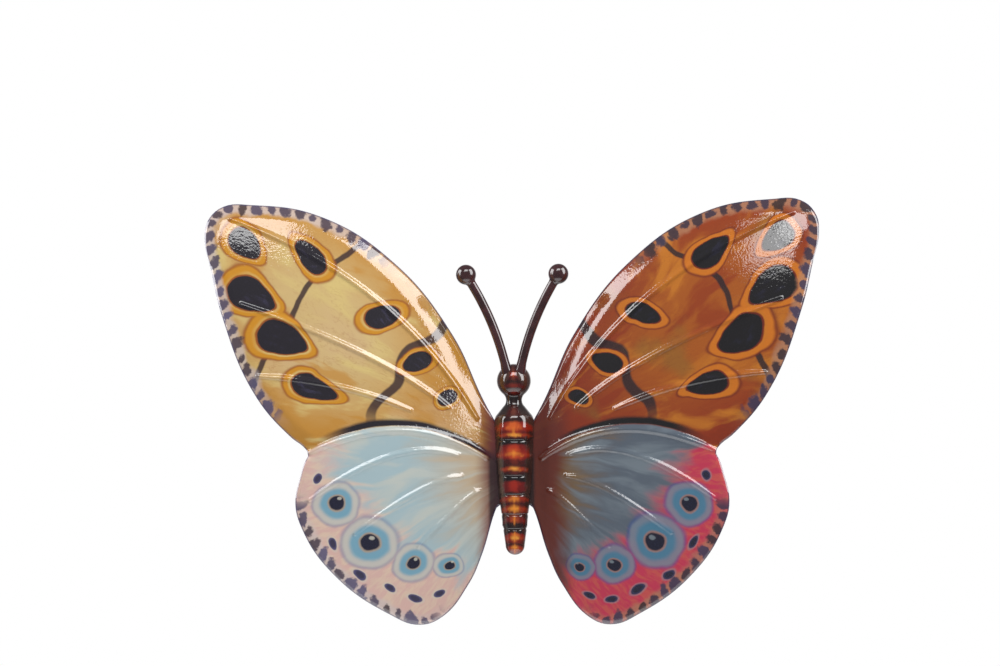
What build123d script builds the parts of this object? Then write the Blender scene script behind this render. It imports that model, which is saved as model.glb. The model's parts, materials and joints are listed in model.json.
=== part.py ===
from build123d import *
from math import atan, atan2, cos, degrees, radians, sin, sqrt
import os

# Pressed sheet-metal butterfly that hangs on a wall.
# Millimetres, +Z up. The butterfly faces -Y and the wall is on the +Y side.
# The origin is where the nail bears, under the top of the hanging ring.
# A depth is measured from the ring's plane towards the viewer, so y = -depth.

# Hanging ring and the strap that holds it
RING_WIRE = 1.6
RING_WIDTH = 9.4
RING_HEIGHT = 8.4
RING_CORNER = 1.8
RING_CLEARANCE = 0.05
STRAP_THICKNESS = 0.6
STRAP_WIDTH = 5.4
STRAP_LENGTH = 18.0
STRAP_SHOULDER = 0.6
STRAP_JOGGLE = 3.4

# Back plate
PLATE_THICKNESS = 1.0
PLATE_INSET = 0.15
PLATE_TOP_BELOW_HEAD = 8.6

# Body pressing: head ball, neck, thorax and ringed tail, each size as seen from the front
BODY_WALL = 0.6
HEAD_DIAMETER = 17.4
HEAD_BELOW_NAIL = 2.0
HEAD_UNDERSIDE_ANGLE = 50.0
NECK_WIDTH = 8.1
NECK_BELOW_HEAD = 9.8
THORAX_WIDTH = 20.4
THORAX_BELOW_HEAD = 23.5
TAIL_BELOW_HEAD = 88.7
TAIL_TIP_RADIUS = 4.9
SHOULDER_RADIUS = 5.0
GROOVE_RADIUS = 1.2
GROOVE_DEPTH = 0.25
TAB_WIDTH = 4.0
TAB_FOLD = 3.0
TAB_ROOT = 1.2
TAB_CLEARANCE = 0.15

# Wing pressing: a domed sheet, raised towards the viewer, with a flat flange at its root
WING_SPAN = 150.0
SHEET = 0.5
DOME_RADIUS = 420.0
TIP_SLOPE = 12.0
ROOT_BEND = 13.0
ROOT_BELOW_NAIL = 44.0
NOTCH_RADIUS = 2.2
FOREWING_ARCS = 12
HINDWING_ARCS = 10
FLANGE_INNER = 2.0
FLANGE_CLEARANCE = 0.05
FLANGE_NOTCH_MARGIN = 3.5
VEIN_WIDTH = 3.6
VEIN_HEIGHT = 1.0
RIDGE_WIDTH = 4.8
RIDGE_HEIGHT = 1.5

# Antennae
ANTENNA_ROD = 4.7
ANTENNA_BALL = 10.2
ANTENNA_LENGTH = 51.7
ANTENNA_ROOT_OFFSET = 3.7
ANTENNA_ROOT_ANGLE = 12.2
ANTENNA_TIP_ANGLE = 30.5
ANTENNA_LEAN = 8.0
ANTENNA_DEPTH = 3.6
ANTENNA_PLANTED = 4.4
ANTENNA_BLEND = 2.0
ANTENNA_FOOT = 6.0
ANTENNA_FOOT_HEIGHT = 3.2
ANTENNA_CLEARANCE = 0.05

# Rivets and the rubber pad
RIVET_SHANK = 2.4
RIVET_HEAD = 4.0
RIVET_HEAD_HEIGHT = 0.9
RIVET_CLEARANCE = 0.05
WING_RIVET_MARGIN = 5.0
WING_RIVET_PITCH = 10.0
HANGER_RIVET_PITCH = 5.0
HANGER_RIVET_MARGIN = 3.4
BUMPER_DIAMETER = 8.0
BUMPER_FROM_TAIL = 6.2
WALL_GAP = 2.0

# One overrun for every cut that runs right through
OVERRUN = 20.0

os.makedirs("parts", exist_ok=True)

# Depths of the layers, counted from the ring's plane towards the viewer
plate_back = RING_WIRE / 2 + RING_CLEARANCE + STRAP_THICKNESS
plate_front = plate_back + PLATE_THICKNESS
flange_front = plate_front + SHEET
strap_back = plate_back - 2 * STRAP_THICKNESS

# Heights that the pieces share
head_z = -HEAD_BELOW_NAIL
neck_z = head_z - NECK_BELOW_HEAD
thorax_z = head_z - THORAX_BELOW_HEAD
tail_z = head_z - TAIL_BELOW_HEAD
root_z = -ROOT_BELOW_NAIL
hinge_z = RING_WIRE / 2 - RING_HEIGHT
strap_end_z = hinge_z - STRAP_LENGTH
plate_top_z = head_z - PLATE_TOP_BELOW_HEAD
bumper_z = tail_z + BUMPER_FROM_TAIL

# Half widths of the body at the grooves between its segments, as shares of the thorax's half width,
# and their places, as shares of the way from the head's centre to the tail's tip
groove_share = [(0.966, 0.342), (0.897, 0.545), (0.814, 0.653), (0.676, 0.768), (0.593, 0.851)]
# Foot and corner of the shoulder, as shares of the way from the neck to the widest thorax
shoulder_share = [(0.22, 0.226), (0.96, 0.63)]

# Wing outline as seen from the front: x as a share of the wing's span, z as a share of it above
# the middle of the root. The first list runs from the root along the leading edge, round the tip
# and down the margin to the notch, the second from the notch round the hindwing to the root.
forewing_share = [
    (0.060, 0.135), (0.101, 0.210), (0.208, 0.441), (0.400, 0.682), (0.642, 0.835),
    (0.859, 0.868), (0.946, 0.861), (0.992, 0.814), (1.000, 0.752), (0.976, 0.650),
    (0.939, 0.507), (0.829, 0.239), (0.697, 0.082), (0.652, 0.047),
]
hindwing_share = [
    (0.652, 0.047), (0.679, -0.015), (0.703, -0.111), (0.687, -0.190), (0.593, -0.348),
    (0.414, -0.498), (0.324, -0.539), (0.255, -0.522), (0.159, -0.410), (0.113, -0.310),
    (0.069, -0.168), (0.058, -0.142),
]
# Start, middle and end of each raised vein, in the same shares, and of the ridge between the wings
vein_share = [
    [(0.125, 0.155), (0.450, 0.553), (0.920, 0.820)],
    [(0.216, 0.190), (0.480, 0.367), (0.873, 0.534)],
    [(0.340, 0.185), (0.570, 0.265), (0.820, 0.300)],
    [(0.187, 0.031), (0.400, 0.035), (0.658, -0.105)],
    [(0.177, -0.040), (0.320, -0.087), (0.518, -0.220)],
    [(0.117, -0.092), (0.185, -0.139), (0.317, -0.272)],
]
ridge_share = [(0.093, 0.018), (0.360, 0.118), (0.660, 0.050)]


def facing(depth):
    """Plane that faces the viewer, so many millimetres in front of the ring's plane."""
    return Plane.XZ.offset(depth)


def groove_point(share):
    return (THORAX_WIDTH / 2 * share[0], head_z - TAIL_BELOW_HEAD * share[1])


# Body silhouette, from which the shell and the back plate are both drawn
with BuildSketch() as silhouette:
    with BuildLine():
        head_arc = CenterArc((0, head_z), HEAD_DIAMETER / 2, 90, -90 - HEAD_UNDERSIDE_ANGLE)
        shoulder_foot, shoulder_corner = [
            (
                NECK_WIDTH / 2 + (THORAX_WIDTH - NECK_WIDTH) / 2 * across,
                neck_z + (thorax_z - neck_z) * down,
            )
            for across, down in shoulder_share
        ]
        ThreePointArc(head_arc @ 1, (NECK_WIDTH / 2, neck_z), shoulder_foot)
        shoulder_line = FilletPolyline(
            shoulder_foot, shoulder_corner, (THORAX_WIDTH / 2, thorax_z), radius=SHOULDER_RADIUS
        )
        Polyline(
            shoulder_line @ 1,
            *[groove_point(share) for share in groove_share],
            (TAIL_TIP_RADIUS, tail_z + TAIL_TIP_RADIUS),
        )
        CenterArc((0, tail_z + TAIL_TIP_RADIUS), TAIL_TIP_RADIUS, 0, -90)
        mirror(about=Plane.YZ)
    make_face()
    for share in groove_share:
        half_width, z = groove_point(share)
        with Locations((half_width + GROOVE_RADIUS - GROOVE_DEPTH, z)):
            Circle(GROOVE_RADIUS, mode=Mode.SUBTRACT)
        with Locations((GROOVE_DEPTH - GROOVE_RADIUS - half_width, z)):
            Circle(GROOVE_RADIUS, mode=Mode.SUBTRACT)


def half_silhouette(inset):
    """The silhouette's right half, drawn in by the inset."""
    with BuildSketch() as half:
        add(silhouette.sketch)
        if inset:
            offset(amount=-inset, mode=Mode.REPLACE)
        with Locations((0, neck_z)):
            left_half = (THORAX_WIDTH, 2 * TAIL_BELOW_HEAD)
            Rectangle(*left_half, align=(Align.MAX, Align.CENTER), mode=Mode.SUBTRACT)
    return half.sketch


# Antenna centreline, in a plane that leans towards the viewer: a straight foot planted in the head,
# a long gentle arc, and a straight end that carries the ball
lean = radians(ANTENNA_LEAN)
antenna_plane = Plane(
    origin=(0, -plate_front - ANTENNA_DEPTH, head_z), x_dir=(1, 0, 0), z_dir=(0, -cos(lean), -sin(lean))
)
rod_radius = ANTENNA_ROD / 2
ball_radius = ANTENNA_BALL / 2
lean_depth = ANTENNA_DEPTH * sin(lean)
root_rise = sqrt(lean_depth**2 + (HEAD_DIAMETER / 2) ** 2 - ANTENNA_ROOT_OFFSET**2 - ANTENNA_DEPTH**2)
root_direction = (sin(radians(ANTENNA_ROOT_ANGLE)), cos(radians(ANTENNA_ROOT_ANGLE)))
antenna_turn = ANTENNA_TIP_ANGLE - ANTENNA_ROOT_ANGLE
blend_reach = sqrt((ball_radius + ANTENNA_BLEND) ** 2 - (rod_radius + ANTENNA_BLEND) ** 2)
with BuildLine(antenna_plane) as antenna_route:
    root_point = (ANTENNA_ROOT_OFFSET, root_rise - lean_depth)
    planted_end = Vector(*root_point) - Vector(*root_direction) * ANTENNA_PLANTED
    planted = Line((planted_end.X, planted_end.Y), root_point)
    arc_radius = (ANTENNA_LENGTH - blend_reach) / radians(antenna_turn)
    antenna_arc = JernArc(root_point, root_direction, arc_radius, -antenna_turn)
ball_plane = Plane(origin=antenna_arc @ 1, x_dir=antenna_arc % 1, z_dir=antenna_plane.z_dir)
seat_plane = Plane(origin=planted @ 1, z_dir=planted % 1)

# Antenna: the rod, a solder foot that fits the head ball, and the ball with its blend
with BuildPart() as antenna_right:
    with BuildSketch(seat_plane.offset(-ANTENNA_FOOT_HEIGHT)):
        Circle(ANTENNA_FOOT / 2)
    foot_taper = degrees(atan((ANTENNA_FOOT - ANTENNA_ROD) / 4 / ANTENNA_FOOT_HEIGHT))
    extrude(amount=3 * ANTENNA_FOOT_HEIGHT, taper=foot_taper)
    with Locations((0, -plate_front, head_z)):
        Sphere(HEAD_DIAMETER / 2, mode=Mode.SUBTRACT)
    with BuildSketch(Plane(origin=planted @ 0, z_dir=planted % 0)):
        Circle(rod_radius)
    sweep(path=antenna_route.line)
    with BuildSketch(ball_plane):
        with BuildLine():
            neck_centre = Vector(0, rod_radius + ANTENNA_BLEND)
            ball_centre = Vector(blend_reach, 0)
            touch = ball_centre + (neck_centre - ball_centre) * (ball_radius / (ball_radius + ANTENNA_BLEND))
            touch_angle = degrees(atan2(touch.Y, touch.X - blend_reach))
            blend_turn = degrees(atan2(touch.Y - neck_centre.Y, touch.X)) + 90
            CenterArc(neck_centre, ANTENNA_BLEND, -90, blend_turn)
            CenterArc(ball_centre, ball_radius, touch_angle, -touch_angle)
            Polyline((0, rod_radius), (0, 0), (blend_reach + ball_radius, 0))
        make_face()
    revolve(axis=Axis(ball_plane.origin, ball_plane.x_dir))
antenna_right.part.label = "antenna_right"
export_step(antenna_right.part, "parts/antenna_right.step")

with BuildPart() as antenna_left:
    add(antenna_right.part)
    mirror(about=Plane.YZ, mode=Mode.REPLACE)
antenna_left.part.label = "antenna_left"
export_step(antenna_left.part, "parts/antenna_left.step")


# Body shell: half a turned form, hollow and open at the back, with four tabs that fold over the plate
body_axis = Axis((0, -plate_front, 0), (0, 0, -1))
root_length = 2 * WING_SPAN * forewing_share[0][1]
last_segment = (Vector(*groove_point(groove_share[-2])) + Vector(*groove_point(groove_share[-1]))) / 2
tabs = [(THORAX_WIDTH / 2 - PLATE_INSET, thorax_z), (last_segment.X - PLATE_INSET, last_segment.Y)]
with BuildPart() as antenna_holes:
    with BuildSketch(seat_plane):
        Circle(rod_radius + ANTENNA_CLEARANCE)
    extrude(amount=ANTENNA_PLANTED, both=True)
    mirror(about=Plane.YZ)
with BuildPart() as body_shell:
    with BuildSketch(facing(plate_front)):
        add(half_silhouette(0))
    revolve(axis=body_axis, revolution_arc=180)
    with BuildSketch(facing(plate_front)):
        add(half_silhouette(BODY_WALL))
    revolve(axis=body_axis, revolution_arc=180, mode=Mode.SUBTRACT)
    with BuildSketch(facing(flange_front + FLANGE_CLEARANCE)):
        with Locations((0, root_z)):
            Rectangle(2 * ROOT_BEND, root_length + 2 * FLANGE_NOTCH_MARGIN)
    extrude(amount=-OVERRUN, mode=Mode.SUBTRACT)
    add(antenna_holes.part, mode=Mode.SUBTRACT)
    for tab_x, tab_z in tabs:
        with BuildSketch(Plane.XY.offset(tab_z)):
            with Locations((tab_x, -flange_front - TAB_ROOT)):
                tab_depth = TAB_ROOT + flange_front - plate_back + BODY_WALL
                Rectangle(BODY_WALL, tab_depth, align=(Align.MAX, Align.MIN))
            with Locations((tab_x, -plate_back)):
                Rectangle(TAB_FOLD, BODY_WALL, align=(Align.MAX, Align.MIN))
            fillet(vertices().group_by(Axis.Y)[-1].sort_by(Axis.X)[-1], BODY_WALL)
            mirror(about=Plane.YZ)
        extrude(amount=TAB_WIDTH / 2, both=True)
body_shell.part.label = "body_shell"
export_step(body_shell.part, "parts/body_shell.step")

wing_rivet_x = THORAX_WIDTH / 2 - WING_RIVET_MARGIN
wing_rivet_places = [
    (side * wing_rivet_x, root_z + row * WING_RIVET_PITCH) for side in (-1, 1) for row in (-1, 0, 1)
]
hanger_rivet_places = [(0, strap_end_z + HANGER_RIVET_MARGIN + row * HANGER_RIVET_PITCH) for row in (0, 1)]

# Back plate: follows the body's outline behind the thorax and tail, and leaves the head's back open
with BuildPart() as back_plate:
    with BuildSketch(facing(plate_back)):
        add(silhouette.sketch)
        offset(amount=-PLATE_INSET, mode=Mode.REPLACE)
        with Locations((0, plate_top_z)):
            above = HEAD_DIAMETER + OVERRUN
            Rectangle(above, above, align=(Align.CENTER, Align.MIN), mode=Mode.SUBTRACT)
        notch_size = (THORAX_WIDTH, TAB_WIDTH + 2 * TAB_CLEARANCE)
        for tab_x, tab_z in tabs:
            with Locations((tab_x - BODY_WALL - TAB_CLEARANCE, tab_z)):
                Rectangle(*notch_size, align=(Align.MIN, Align.CENTER), mode=Mode.SUBTRACT)
            with Locations((BODY_WALL + TAB_CLEARANCE - tab_x, tab_z)):
                Rectangle(*notch_size, align=(Align.MAX, Align.CENTER), mode=Mode.SUBTRACT)
        with Locations(*wing_rivet_places, *hanger_rivet_places):
            Circle(RIVET_SHANK / 2 + RIVET_CLEARANCE, mode=Mode.SUBTRACT)
    extrude(amount=PLATE_THICKNESS)
back_plate.part.label = "back_plate"
export_step(back_plate.part, "parts/back_plate.step")


# Wings. The dome's centre lies behind the wing, so that the sheet leaves the flange at the root bend
# and flattens towards the tip. A side is 1 for the right wing and -1 for the left.
dome_centre_x = WING_SPAN + DOME_RADIUS * sin(radians(TIP_SLOPE))
dome_rise = sqrt(DOME_RADIUS**2 - (dome_centre_x - ROOT_BEND) ** 2)


def dome_centre(side):
    return Vector(side * dome_centre_x, dome_rise - flange_front, root_z)


def wing_point(share, side):
    """The place seen from the front, x and z, of a pair of shares of the wing's span."""
    return (side * WING_SPAN * share[0], root_z + WING_SPAN * share[1])


def on_dome(share, sunk, side):
    """The point of the dome seen at a place given in shares of the span, sunk below its front face."""
    x, z = wing_point(share, side)
    centre = dome_centre(side)
    rise = sqrt(DOME_RADIUS**2 - (centre.X - x) ** 2 - (centre.Z - z) ** 2)
    outward = Vector(x, centre.Y - rise, z) - centre
    return centre + outward * ((DOME_RADIUS - sunk) / DOME_RADIUS)


def bead(route_share, width, height, wall, side):
    """A round bead with round ends along an arc on the dome, drawn in by the wall."""
    section = (height**2 + (width / 2) ** 2) / (2 * height)
    route = ThreePointArc(*[on_dome(share, section - height, side) for share in route_share])
    with BuildPart() as raised:
        with BuildSketch(Plane(origin=route @ 0, z_dir=route % 0)):
            Circle(section - wall)
        turn = degrees(route.length / route.radius)
        revolve(axis=Axis(route.arc_center, route.normal()), revolution_arc=turn)
        with Locations(route @ 0, route @ 1):
            Sphere(section - wall)
    return raised.part


def beads(wall, side):
    """All seven beads of a wing: six veins and the ridge between forewing and hindwing."""
    veins = [bead(share, VEIN_WIDTH, VEIN_HEIGHT, wall, side) for share in vein_share]
    return veins + [bead(ridge_share, RIDGE_WIDTH, RIDGE_HEIGHT, wall, side)]


def arcs_along(guide, count):
    """The guide curve as a chain of arcs, the way the edge of a press tool is cut."""
    for step in range(count):
        ThreePointArc(guide @ (step / count), guide @ ((step + 0.5) / count), guide @ ((step + 1) / count))


def wing_outline(side):
    """The wing as seen from the front, with its root's straight edge beside the other wing's."""
    with BuildSketch() as outline:
        with BuildLine():
            lead = Spline(*[wing_point(share, side) for share in forewing_share], mode=Mode.PRIVATE)
            trail = Spline(*[wing_point(share, side) for share in hindwing_share], mode=Mode.PRIVATE)
            arcs_along(lead, FOREWING_ARCS)
            arcs_along(trail, HINDWING_ARCS)
            Polyline(
                trail @ 1,
                (side * FLANGE_INNER, (trail @ 1).Y),
                (side * FLANGE_INNER, (lead @ 0).Y),
                lead @ 0,
            )
        make_face()
        fillet(vertices().sort_by_distance(lead @ 1)[0], NOTCH_RADIUS)
    return outline.sketch


def wing(side):
    """The sheet follows the dome outside the root bend and lies flat on the plate inside it, and each
    bead is pressed out of it at the same thickness."""
    outline = wing_outline(side)
    with BuildPart() as pressing:
        with BuildSketch(facing(plate_front)):
            add(outline)
        extrude(amount=DOME_RADIUS)
        with Locations(dome_centre(side)):
            Sphere(DOME_RADIUS, mode=Mode.INTERSECT)
        for raised in beads(0, side):
            add(raised)
        with BuildSketch(facing(plate_front)):
            add(outline)
        extrude(amount=DOME_RADIUS, mode=Mode.INTERSECT)
        with BuildSketch(facing(plate_front)):
            add(outline)
        extrude(amount=SHEET)
        with Locations(dome_centre(side)):
            Sphere(DOME_RADIUS - SHEET, mode=Mode.SUBTRACT)
        for hollow in beads(SHEET, side):
            add(hollow, mode=Mode.SUBTRACT)
        with BuildSketch(facing(plate_front)):
            with Locations(*[place for place in wing_rivet_places if side * place[0] > 0]):
                Circle(RIVET_SHANK / 2 + RIVET_CLEARANCE)
            with Locations((side * (tabs[0][0] - BODY_WALL / 2), thorax_z)):
                Rectangle(BODY_WALL + 2 * TAB_CLEARANCE, TAB_WIDTH + 2 * TAB_CLEARANCE)
        extrude(amount=SHEET, mode=Mode.SUBTRACT)
    return pressing.part


with BuildPart() as wing_right:
    add(wing(1))
wing_right.part.label = "wing_right"
export_step(wing_right.part, "parts/wing_right.step")

with BuildPart() as wing_left:
    add(wing(-1))
wing_left.part.label = "wing_left"
export_step(wing_left.part, "parts/wing_left.step")


# Rivets, each through its layers with a domed head at both ends


def rivets(places, front, back):
    """One rivet at each place, its heads bearing on the two depths."""
    dome = (RIVET_HEAD_HEIGHT**2 + (RIVET_HEAD / 2) ** 2) / (2 * RIVET_HEAD_HEIGHT)
    with BuildPart() as rivet:
        with BuildSketch():
            with BuildLine():
                RadiusArc((0, -front - RIVET_HEAD_HEIGHT), (RIVET_HEAD / 2, -front), -dome)
                Polyline(
                    (RIVET_HEAD / 2, -front),
                    (RIVET_SHANK / 2, -front),
                    (RIVET_SHANK / 2, -back),
                    (RIVET_HEAD / 2, -back),
                )
                RadiusArc((RIVET_HEAD / 2, -back), (0, RIVET_HEAD_HEIGHT - back), -dome)
                Line((0, RIVET_HEAD_HEIGHT - back), (0, -front - RIVET_HEAD_HEIGHT))
            make_face()
        revolve(axis=Axis.Y)
    with BuildPart() as group:
        with Locations(*[(x, 0, z) for x, z in places]):
            add(rivet.part)
    return group.part


with BuildPart() as wing_rivets:
    add(rivets(wing_rivet_places, flange_front, plate_back))
wing_rivets.part.label = "wing_rivets"
export_step(wing_rivets.part, "parts/wing_rivets.step")

with BuildPart() as hanger_rivets:
    add(rivets(hanger_rivet_places, plate_front, strap_back))
hanger_rivets.part.label = "hanger_rivets"
export_step(hanger_rivets.part, "parts/hanger_rivets.step")

# Hanger strap: folded round the ring's bar, with both legs pressed together behind the plate.
# Its profile is drawn on the YZ plane, where +X of the sketch points to the wall.
eye_radius = RING_WIRE / 2 + RING_CLEARANCE
with BuildSketch() as strap_eye:
    with BuildLine():
        CenterArc((0, hinge_z), eye_radius, 0, 180)
        Polyline(
            (-eye_radius, hinge_z),
            (-eye_radius, hinge_z - STRAP_JOGGLE),
            (eye_radius, hinge_z - STRAP_SHOULDER),
            (eye_radius, hinge_z),
        )
    make_face()
with BuildPart() as hanger_strap:
    with BuildSketch(Plane.YZ):
        add(strap_eye.sketch)
        offset(amount=STRAP_THICKNESS, mode=Mode.REPLACE)
        with Locations((-plate_back, strap_end_z)):
            Rectangle(2 * STRAP_THICKNESS, STRAP_LENGTH - STRAP_JOGGLE, align=(Align.MIN, Align.MIN))
        add(strap_eye.sketch, mode=Mode.SUBTRACT)
    extrude(amount=STRAP_WIDTH / 2, both=True)
    with BuildSketch(facing(strap_back)):
        with Locations(*hanger_rivet_places):
            Circle(RIVET_SHANK / 2 + RIVET_CLEARANCE)
    extrude(amount=plate_back - strap_back, mode=Mode.SUBTRACT)
hanger_strap.part.label = "hanger_strap"
export_step(hanger_strap.part, "parts/hanger_strap.step")

# Hanging ring: a D of round wire, its straight bar in the strap's eye and its top round the nail
side_x = RING_WIDTH / 2
arch_z = RING_WIRE / 2 - side_x
with BuildPart() as hanger_ring:
    with BuildLine(facing(0)) as ring_route:
        CenterArc((0, arch_z), side_x, 0, 180)
        Line((-side_x, arch_z), (-side_x, hinge_z + RING_CORNER))
        CenterArc((RING_CORNER - side_x, hinge_z + RING_CORNER), RING_CORNER, 180, 90)
        Line((RING_CORNER - side_x, hinge_z), (side_x - RING_CORNER, hinge_z))
        CenterArc((side_x - RING_CORNER, hinge_z + RING_CORNER), RING_CORNER, 270, 90)
        Line((side_x, hinge_z + RING_CORNER), (side_x, arch_z))
    with BuildSketch(Plane.YZ.offset(0)):
        with Locations((0, hinge_z)):
            Circle(RING_WIRE / 2)
    sweep(path=ring_route.wires()[0])
hanger_ring.part.label = "hanger_ring"
export_step(hanger_ring.part, "parts/hanger_ring.step")

# Wall bumper: the rubber pad behind the tail, which holds the butterfly off the wall
with BuildPart() as wall_bumper:
    with BuildSketch(facing(plate_back)):
        with Locations((0, bumper_z)):
            Circle(BUMPER_DIAMETER / 2)
    extrude(amount=-plate_back - WALL_GAP)
wall_bumper.part.label = "wall_bumper"
export_step(wall_bumper.part, "parts/wall_bumper.step")
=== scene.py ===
import json
import math

import bmesh
import bpy
import numpy as np
from mathutils import Matrix, Vector

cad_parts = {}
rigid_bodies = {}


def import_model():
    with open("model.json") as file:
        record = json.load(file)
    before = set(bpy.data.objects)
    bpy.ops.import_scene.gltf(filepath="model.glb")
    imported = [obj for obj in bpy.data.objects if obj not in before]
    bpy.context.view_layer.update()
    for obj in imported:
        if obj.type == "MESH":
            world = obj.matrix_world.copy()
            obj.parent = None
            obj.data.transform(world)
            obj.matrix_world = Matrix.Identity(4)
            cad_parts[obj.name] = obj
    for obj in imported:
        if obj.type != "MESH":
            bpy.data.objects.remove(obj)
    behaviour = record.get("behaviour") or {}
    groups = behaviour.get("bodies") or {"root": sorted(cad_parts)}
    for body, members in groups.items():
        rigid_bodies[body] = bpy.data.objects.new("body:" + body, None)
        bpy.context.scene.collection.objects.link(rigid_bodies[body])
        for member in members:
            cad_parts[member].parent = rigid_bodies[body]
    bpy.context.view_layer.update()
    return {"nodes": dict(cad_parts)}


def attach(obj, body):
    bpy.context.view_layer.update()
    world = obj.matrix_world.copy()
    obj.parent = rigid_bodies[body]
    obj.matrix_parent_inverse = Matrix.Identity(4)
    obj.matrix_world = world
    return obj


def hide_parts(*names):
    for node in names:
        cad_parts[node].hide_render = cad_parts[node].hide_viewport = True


# %% [markdown]
# A pressed metal butterfly for a wall.
# The solids that fix its size come first. They are loaded as they are, and everything that is
# modelled below is built around them, in metres, with the butterfly facing -Y.

# %% Load the frame
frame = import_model()
nodes = frame["nodes"]

# %% [markdown]
# The sizes that the dressed pieces share with the solids.
# A millimetre is written out once, so that every size below can be read like a drawing. The outline's
# points are shares of the wing's span: x from the body's middle, z from the middle of the root.

# %% Sizes taken over from the drawing
MM = 0.001
WING_SPAN = 150 * MM
ROOT_Z = -44 * MM
FLANGE_FRONT = 2.95 * MM
SHEET = 0.5 * MM
DOME_RADIUS = 420 * MM
ROOT_BEND = 13 * MM
TIP_SLOPE = math.radians(12)

FOREWING = [
    (0.060, 0.135), (0.101, 0.210), (0.208, 0.441), (0.400, 0.682), (0.642, 0.835),
    (0.859, 0.868), (0.946, 0.861), (0.992, 0.814), (1.000, 0.752), (0.976, 0.650),
    (0.939, 0.507), (0.829, 0.239), (0.714, 0.098), (0.676, 0.067),
]
NOTCH = (0.663, 0.045)
HINDWING = [
    (0.673, 0.020), (0.683, -0.015), (0.703, -0.111), (0.687, -0.190), (0.593, -0.348),
    (0.414, -0.498), (0.324, -0.539), (0.255, -0.522), (0.159, -0.410), (0.113, -0.310),
    (0.069, -0.168), (0.058, -0.142),
]
ROOT_CORNERS = [(0.0135, -0.142), (0.0135, 0.135)]
print("points on the outline:", len(FOREWING + [NOTCH] + HINDWING + ROOT_CORNERS))

# %% [markdown]
# The raised lines on the wing.
# On the real wing six veins and one stronger ridge are pressed out of the sheet. Each is written as
# its start, middle and end in shares of the wing's span, then its width and its height.

# %% Raised lines
VEIN = (4.4 * MM, 1.05 * MM)
RIDGE = (5.6 * MM, 1.5 * MM)
RAISED = [
    ((0.125, 0.155), (0.450, 0.553), (0.920, 0.820), VEIN),
    ((0.216, 0.190), (0.480, 0.367), (0.873, 0.534), VEIN),
    ((0.340, 0.185), (0.570, 0.265), (0.820, 0.300), VEIN),
    ((0.187, 0.031), (0.400, 0.035), (0.658, -0.105), VEIN),
    ((0.177, -0.040), (0.320, -0.087), (0.518, -0.220), VEIN),
    ((0.117, -0.092), (0.185, -0.139), (0.317, -0.272), VEIN),
    ((0.093, 0.018), (0.360, 0.118), (0.660, 0.050), RIDGE),
]
STEPS_ALONG = 20


def route_points(start, middle, end):
    """Points along the smooth curve through three places, in metres, flat."""
    a, b, c = (np.array(p) * WING_SPAN for p in (start, middle, end))
    pull = 2 * b - (a + c) / 2
    t = np.linspace(0, 1, STEPS_ALONG + 1)[:, None]
    return (1 - t) ** 2 * a + 2 * t * (1 - t) * pull + t**2 * c


def away_from(points, line):
    """How far each point is from a line of points, and how far along the line its foot is, 0 to 1."""
    best = np.full(len(points), np.inf)
    share = np.zeros(len(points))
    for i, (a, b) in enumerate(zip(line[:-1], line[1:])):
        run = b - a
        t = np.clip(((points - a) @ run) / (run @ run), 0, 1)
        gap = np.hypot(*(points - a - t[:, None] * run).T)
        share = np.where(gap < best, (i + t) / (len(line) - 1), share)
        best = np.minimum(best, gap)
    return best, share


routes = [(route_points(*row[:3]), *row[3]) for row in RAISED]
print("raised lines:", len(routes))

# %% [markdown]
# The wing's edge.
# The blank is cut to one smooth outline. A Bezier curve with automatic handles gives the same flowing
# line with a handful of points, and Blender turns it into an edge loop that can be spaced evenly.

# %% Outline of the blank
CURVE_STEPS = 16


def blank_outline():
    """The outline as many points, flat, with the middle of the root at the origin."""
    places = FOREWING + [NOTCH] + HINDWING + ROOT_CORNERS
    curve = bpy.data.curves.new("outline", "CURVE")
    curve.dimensions = "2D"
    curve.resolution_u = CURVE_STEPS
    spline = curve.splines.new("BEZIER")
    spline.bezier_points.add(len(places) - 1)
    for point, (x, z) in zip(spline.bezier_points, places):
        point.co = (x * WING_SPAN, z * WING_SPAN, 0)
        point.handle_left_type = point.handle_right_type = "AUTO"
    # the flange's four corners, the only sharp ones
    for corner in (0, -1, -2, -3):
        point = spline.bezier_points[corner]
        point.handle_left_type = point.handle_right_type = "VECTOR"
    spline.use_cyclic_u = True
    holder = bpy.data.objects.new("outline", curve)
    mesh = bpy.data.meshes.new_from_object(holder)
    line = np.array([v.co[:2] for v in mesh.vertices])
    bpy.data.objects.remove(holder)
    bpy.data.curves.remove(curve)
    bpy.data.meshes.remove(mesh)
    return np.vstack([line, line[:1]])


outline = blank_outline()
outline_run = np.concatenate([[0], np.cumsum(np.hypot(*np.diff(outline, axis=0).T))])
print("edge length in mm:", round(outline_run[-1] / MM))


def outline_at(distance):
    """Places on the outline so far along it."""
    return np.column_stack([np.interp(distance, outline_run, outline[:, k]) for k in (0, 1)])


# %% [markdown]
# The press tool.
# The sheet is pressed into a shallow dome with the raised lines standing out of it, and its leading
# edge turned back. The same shape is written here as a depth for every place on the blank, because one
# formula can then be pressed into a mesh of any fineness.

# %% Depth of the pressing
BEND_SOFTNESS = 1.2 * MM
# a raised line is narrower and lower at its ends, and is full after a sixth of its length
END_TAPER = 6
END_WIDTH = 0.72
END_HEIGHT = 0.75
# the leading edge turns back up to this share of the span, and is fully turned after an eighth of it
LEADING_REACH = 0.945
LEADING_START = 8
LEADING_POINTS = 60
LEADING_WIDTH = 8 * MM
LEADING_DROP = 2.0 * MM
# the rest of the rim is turned back a little, as a shear leaves it
EDGE_WIDTH = 2.4 * MM
EDGE_DROP = 0.45 * MM

upper = len(outline) // 2
leading_length = np.interp(LEADING_REACH * WING_SPAN, outline[:upper, 0], outline_run[:upper])
leading = outline_at(np.linspace(0, leading_length, LEADING_POINTS))
print("turned leading edge in mm:", round(leading_length / MM))


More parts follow.
